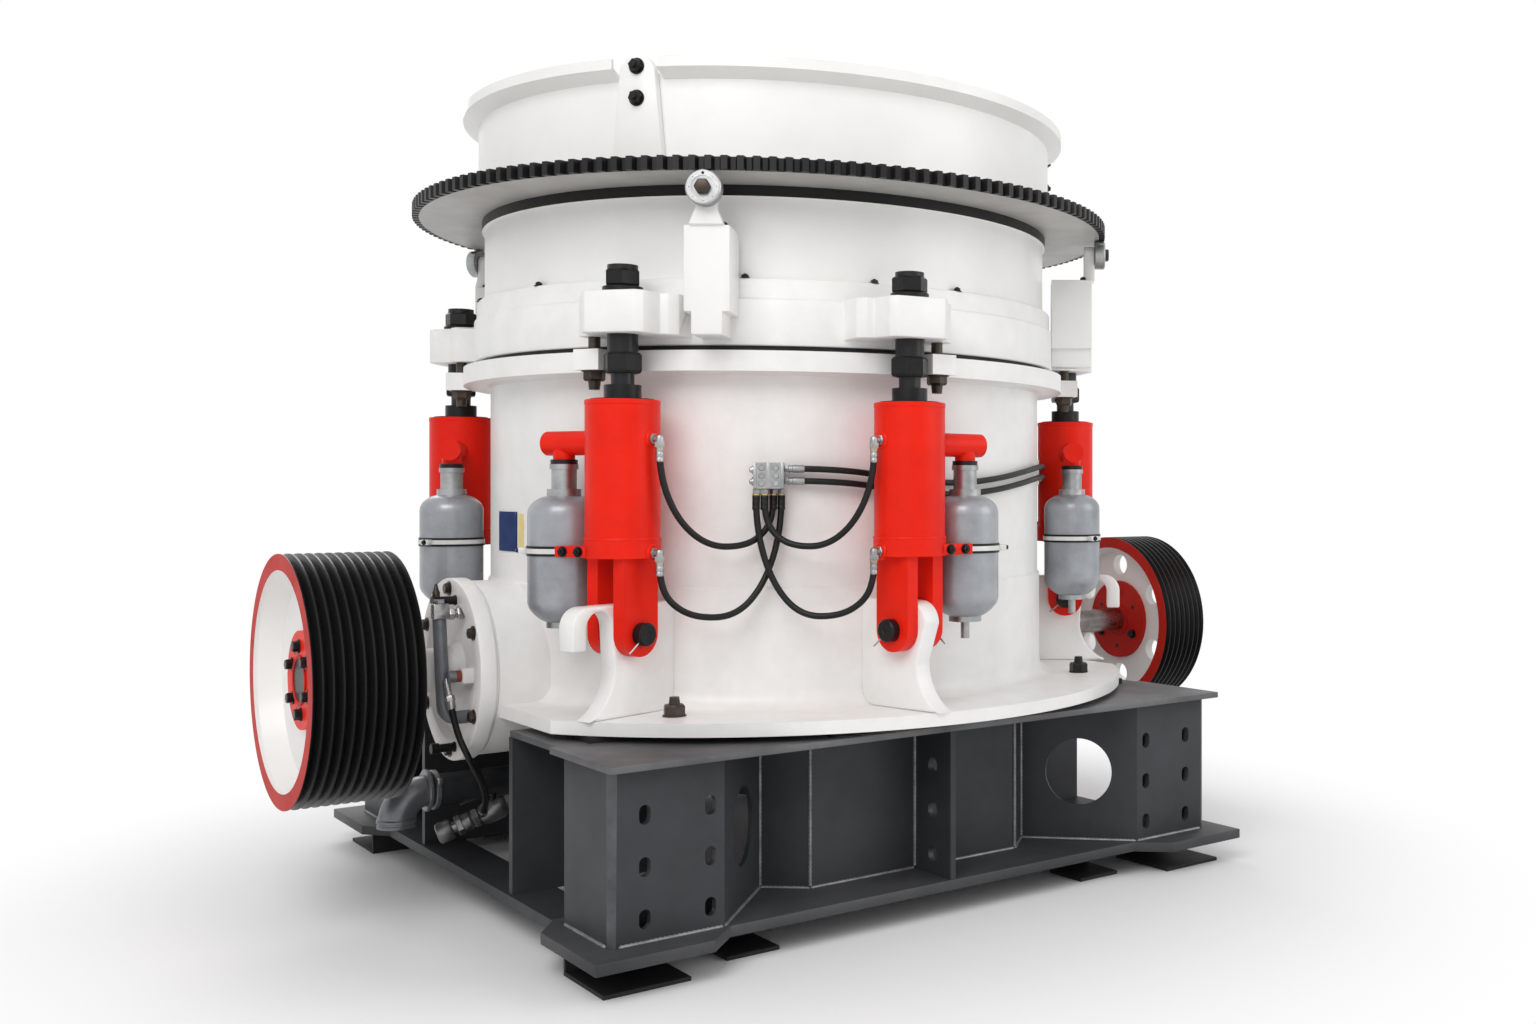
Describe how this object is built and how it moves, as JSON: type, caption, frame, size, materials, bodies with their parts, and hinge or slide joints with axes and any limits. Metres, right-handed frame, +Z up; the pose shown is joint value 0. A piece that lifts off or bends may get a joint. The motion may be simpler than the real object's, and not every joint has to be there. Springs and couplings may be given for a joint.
{
  "type": "multi-cylinder cone crusher",
  "caption": "Cone crusher on a welded base, with a round hopper over a toothed ring, hydraulic cylinders and gas vessels round a white casting, and grooved drive sheaves.",
  "frame": {"origin": "on the floor, under the main vertical axis", "axes": "+Z up along the main axis, -X towards the large drive sheave, -Y towards the front in the picture"},
  "size_m": [3.6224, 2.6802, 2.6876],
  "materials": {
    "base_steel": "satin",
    "pad_black": "matt",
    "white_casting": "satin",
    "red_paint": "gloss",
    "black_steel": "satin",
    "bright_steel": "satin",
    "vessel_grey": "satin",
    "pipe_grey": "satin",
    "fitting_steel": "worn",
    "wear_steel": "bare",
    "roller_steel": "satin",
    "hose_rubber": "matt",
    "plate_blue": "satin"
  },
  "bodies": {
    "frame": {"accumulator_bands": "bright_steel", "accumulator_clamps": "red_paint", "accumulator_necks": "bright_steel", "accumulators": "vessel_grey", "base_bottom_plates": "base_steel", "base_corner_walls": "base_steel", "base_cross_plates": "base_steel", "base_feet": "base_steel", "base_side_sills": "base_steel", "base_top_plates": "base_steel", "base_webs": "base_steel", "clevis_pins": "black_steel", "counterweight": "wear_steel", "crushing_head": "wear_steel", "cylinder_barrels": "red_paint", "cylinder_brackets": "white_casting", "drain_fittings": "fitting_steel", "drain_pipe": "pipe_grey", "drive_covers": "white_casting", "drive_hose": "hose_rubber", "feed_plate": "wear_steel", "frame_hub": "black_steel", "frame_pads": "pad_black", "frame_shell": "white_casting", "guide_pins": "white_casting", "hose_fittings": "bright_steel", "hoses_front": "hose_rubber", "hoses_rear": "hose_rubber", "hoses_right": "hose_rubber", "link_clamps": "white_casting", "link_hoses_front": "hose_rubber", "link_hoses_rear": "hose_rubber", "manifolds": "bright_steel", "mantle": "wear_steel", "name_plate": "plate_blue", "oil_fittings": "fitting_steel", "oil_pipe": "pipe_grey", "ring_seal": "pad_black", "rod_glands": "black_steel"},
    "adjustment": {"adjustment_ring": "white_casting", "tension_rods": "bright_steel", "rod_nuts": "black_steel", "roller_brackets": "white_casting"},
    "bowl": {"bowl": "white_casting", "bowl_liner": "wear_steel", "ring_gear": "white_casting", "hopper": "white_casting", "drive_plates": "white_casting"},
    "sheave": {"drive_sheave": "white_casting", "sheave_hub": "red_paint", "sheave_shaft": "bright_steel"},
    "pulley": {"right_pulley": "white_casting", "pulley_hub": "red_paint", "pulley_shaft": "bright_steel"},
    "roller_1": {"roller_1": "roller_steel"},
    "roller_2": {"roller_2": "roller_steel"},
    "roller_3": {"roller_3": "roller_steel"},
    "roller_4": {"roller_4": "roller_steel"}
  },
  "joints": [
    {"name": "ring_lift", "type": "slide", "parent": "frame", "child": "adjustment", "axis": [0, 0, 1], "range_m": [0, 0.07]},
    {"name": "bowl_turn", "type": "hinge", "parent": "adjustment", "child": "bowl", "pos_m": [0, 0, 2], "axis": [0, 0, 1], "continuous": true},
    {"name": "sheave_spin", "type": "hinge", "parent": "frame", "child": "sheave", "pos_m": [-1.5, 0, 0.775], "axis": [1, 0, 0], "continuous": true},
    {"name": "pulley_spin", "type": "hinge", "parent": "frame", "child": "pulley", "pos_m": [1.8, 0, 0.775], "axis": [1, 0, 0], "continuous": true},
    {"name": "roller_1_spin", "type": "hinge", "parent": "adjustment", "child": "roller_1", "pos_m": [-0.768, -0.96205, 2.2473], "axis": [-0.6239, -0.7815, 0], "continuous": true},
    {"name": "roller_2_spin", "type": "hinge", "parent": "adjustment", "child": "roller_2", "pos_m": [0.96205, -0.768, 2.2473], "axis": [0.7815, -0.6239, 0], "continuous": true},
    {"name": "roller_3_spin", "type": "hinge", "parent": "adjustment", "child": "roller_3", "pos_m": [0.96205, 0.768, 2.2473], "axis": [0.7815, 0.6239, 0], "continuous": true},
    {"name": "roller_4_spin", "type": "hinge", "parent": "adjustment", "child": "roller_4", "pos_m": [-0.768, 0.96205, 2.2473], "axis": [-0.6239, 0.7815, 0], "continuous": true}
  ],
  "couplings": [
    {"joint": "pulley_spin", "follows": "sheave_spin", "ratio": -1},
    {"joint": "roller_1_spin", "follows": "bowl_turn", "ratio": -23.226},
    {"joint": "roller_2_spin", "follows": "bowl_turn", "ratio": -23.226},
    {"joint": "roller_3_spin", "follows": "bowl_turn", "ratio": -23.226},
    {"joint": "roller_4_spin", "follows": "bowl_turn", "ratio": -23.226}
  ]
}
